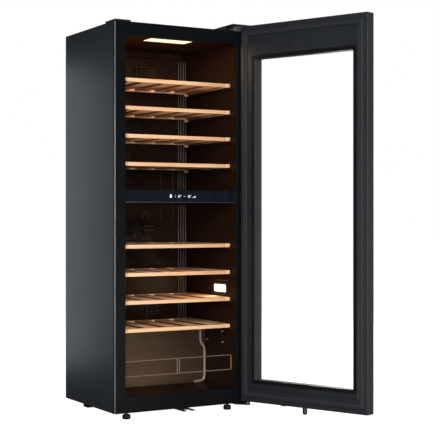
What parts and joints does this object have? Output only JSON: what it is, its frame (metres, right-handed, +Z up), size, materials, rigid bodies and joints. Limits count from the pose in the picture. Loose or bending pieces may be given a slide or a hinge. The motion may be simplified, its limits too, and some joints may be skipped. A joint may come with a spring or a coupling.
{
  "type": "wine cooler",
  "caption": "Tall slim free-standing wine cooler: two temperature zones with sliding slatted wooden shelves, a lit interior and a glazed door shown standing open.",
  "frame": {"origin": "middle of the footprint's bounding box at floor level, with the door standing open as at rest", "axes": "+Z up, the cabinet's front faces -Y, the door hinges on the +X side"},
  "size_m": [0.6638, 0.865, 1.2685],
  "materials": {
    "side_sheet": "satin",
    "galvanised": "satin",
    "foam": "matte",
    "liner": "satin",
    "frame_black": "satin",
    "nylon": "satin",
    "lamp_lens": "satin",
    "panel_glass": "gloss",
    "fins": "satin",
    "beech": "satin",
    "wire": "gloss",
    "cast_black": "gloss",
    "copper": "satin",
    "cover_black": "satin",
    "clear_glass": "gloss",
    "gasket": "matte",
    "lock_steel": "satin"
  },
  "bodies": {
    "cabinet": {"outer_wrapper": "side_sheet", "back_panel": "galvanised", "base_pan": "galvanised", "bay_floor": "galvanised", "foam_insulation": "foam", "inner_liner": "liner", "front_frame": "frame_black", "ceiling_lamp_housing": "nylon", "side_lamp_housing": "nylon", "ceiling_lamp_lens": "lamp_lens", "side_lamp_lens": "lamp_lens", "partition": "liner", "control_panel": "nylon", "control_glass": "panel_glass", "upper_duct_cover": "liner", "lower_duct_cover": "liner", "duct_lintel": "liner", "upper_fan_motor": "nylon", "lower_fan_motor": "nylon", "upper_evaporator": "fins", "lower_evaporator": "fins", "bottle_guard": "wire", "compressor": "cast_black", "condenser": "copper", "condenser_fan_motor": "cast_black", "power_box": "nylon", "drip_tray": "nylon", "compressor_cover": "cover_black", "mains_inlet": "nylon", "rear_foot_left": "nylon", "rear_foot_right": "nylon", "strike_plate": "side_sheet", "top_hinge": "galvanised", "bottom_hinge": "side_sheet", "top_hinge_cover": "cover_black", "corner_cap": "cover_black"},
    "door": {"door_frame": "frame_black", "outer_glass": "clear_glass", "inner_glass": "clear_glass", "glass_spacer": "fins", "door_gasket": "gasket", "door_inner_frame": "frame_black", "top_hinge_bush": "nylon", "bottom_hinge_bush": "nylon", "lock_barrel": "lock_steel", "door_glide": "nylon"},
    "lock_plug": {"lock_plug": "lock_steel"},
    "upper_fan": {"upper_fan": "nylon"},
    "lower_fan": {"lower_fan": "nylon"},
    "condenser_fan": {"condenser_fan": "nylon"},
    "front_foot_left": {"front_foot_left": "nylon"},
    "front_foot_right": {"front_foot_right": "nylon"},
    "shelf_1": {"shelf_1": "beech"},
    "shelf_2": {"shelf_2": "beech"},
    "shelf_3": {"shelf_3": "beech"},
    "shelf_4": {"shelf_4": "beech"},
    "shelf_5": {"shelf_5": "beech"},
    "shelf_6": {"shelf_6": "beech"},
    "shelf_7": {"shelf_7": "beech"},
    "shelf_8": {"shelf_8": "beech"}
  },
  "joints": [
    {"name": "door_swing", "type": "hinge", "parent": "cabinet", "child": "door", "pos_m": [0.13607, 0.00751, 0.023], "axis": [0, 0, 1], "range_deg": [-112.5, 7.5]},
    {"name": "shelf_1_slide", "type": "slide", "parent": "cabinet", "child": "shelf_1", "axis": [0, -1, 0], "range_m": [0, 0.2]},
    {"name": "shelf_2_slide", "type": "slide", "parent": "cabinet", "child": "shelf_2", "axis": [0, -1, 0], "range_m": [0, 0.2]},
    {"name": "shelf_3_slide", "type": "slide", "parent": "cabinet", "child": "shelf_3", "axis": [0, -1, 0], "range_m": [0, 0.2]},
    {"name": "shelf_4_slide", "type": "slide", "parent": "cabinet", "child": "shelf_4", "axis": [0, -1, 0], "range_m": [0, 0.2]},
    {"name": "shelf_5_slide", "type": "slide", "parent": "cabinet", "child": "shelf_5", "axis": [0, -1, 0], "range_m": [0, 0.2]},
    {"name": "shelf_6_slide", "type": "slide", "parent": "cabinet", "child": "shelf_6", "axis": [0, -1, 0], "range_m": [0, 0.2]},
    {"name": "shelf_7_slide", "type": "slide", "parent": "cabinet", "child": "shelf_7", "axis": [0, -1, 0], "range_m": [0, 0.2]},
    {"name": "shelf_8_slide", "type": "slide", "parent": "cabinet", "child": "shelf_8", "axis": [0, -1, 0], "range_m": [0, 0.2]},
    {"name": "upper_fan_spin", "type": "hinge", "parent": "cabinet", "child": "upper_fan", "pos_m": [-0.09193, 0.37551, 0.95815], "axis": [0, -1, 0], "continuous": true},
    {"name": "lower_fan_spin", "type": "hinge", "parent": "cabinet", "child": "lower_fan", "pos_m": [-0.09193, 0.37551, 0.5982], "axis": [0, -1, 0], "continuous": true},
    {"name": "condenser_fan_spin", "type": "hinge", "parent": "cabinet", "child": "condenser_fan", "pos_m": [-0.15193, 0.32551, 0.103], "axis": [0, -1, 0], "continuous": true},
    {"name": "front_foot_left_turn", "type": "hinge", "parent": "cabinet", "child": "front_foot_left", "pos_m": [-0.27693, 0.06651, 0], "axis": [0, 0, 1], "continuous": true},
    {"name": "front_foot_right_turn", "type": "hinge", "parent": "cabinet", "child": "front_foot_right", "pos_m": [0.09307, 0.06651, 0], "axis": [0, 0, 1], "continuous": true},
    {"name": "lock_turn", "type": "hinge", "parent": "door", "child": "lock_plug", "pos_m": [0.22042, -0.20434, 0.0342], "axis": [0, 0, 1], "range_deg": [0, 90]}
  ]
}
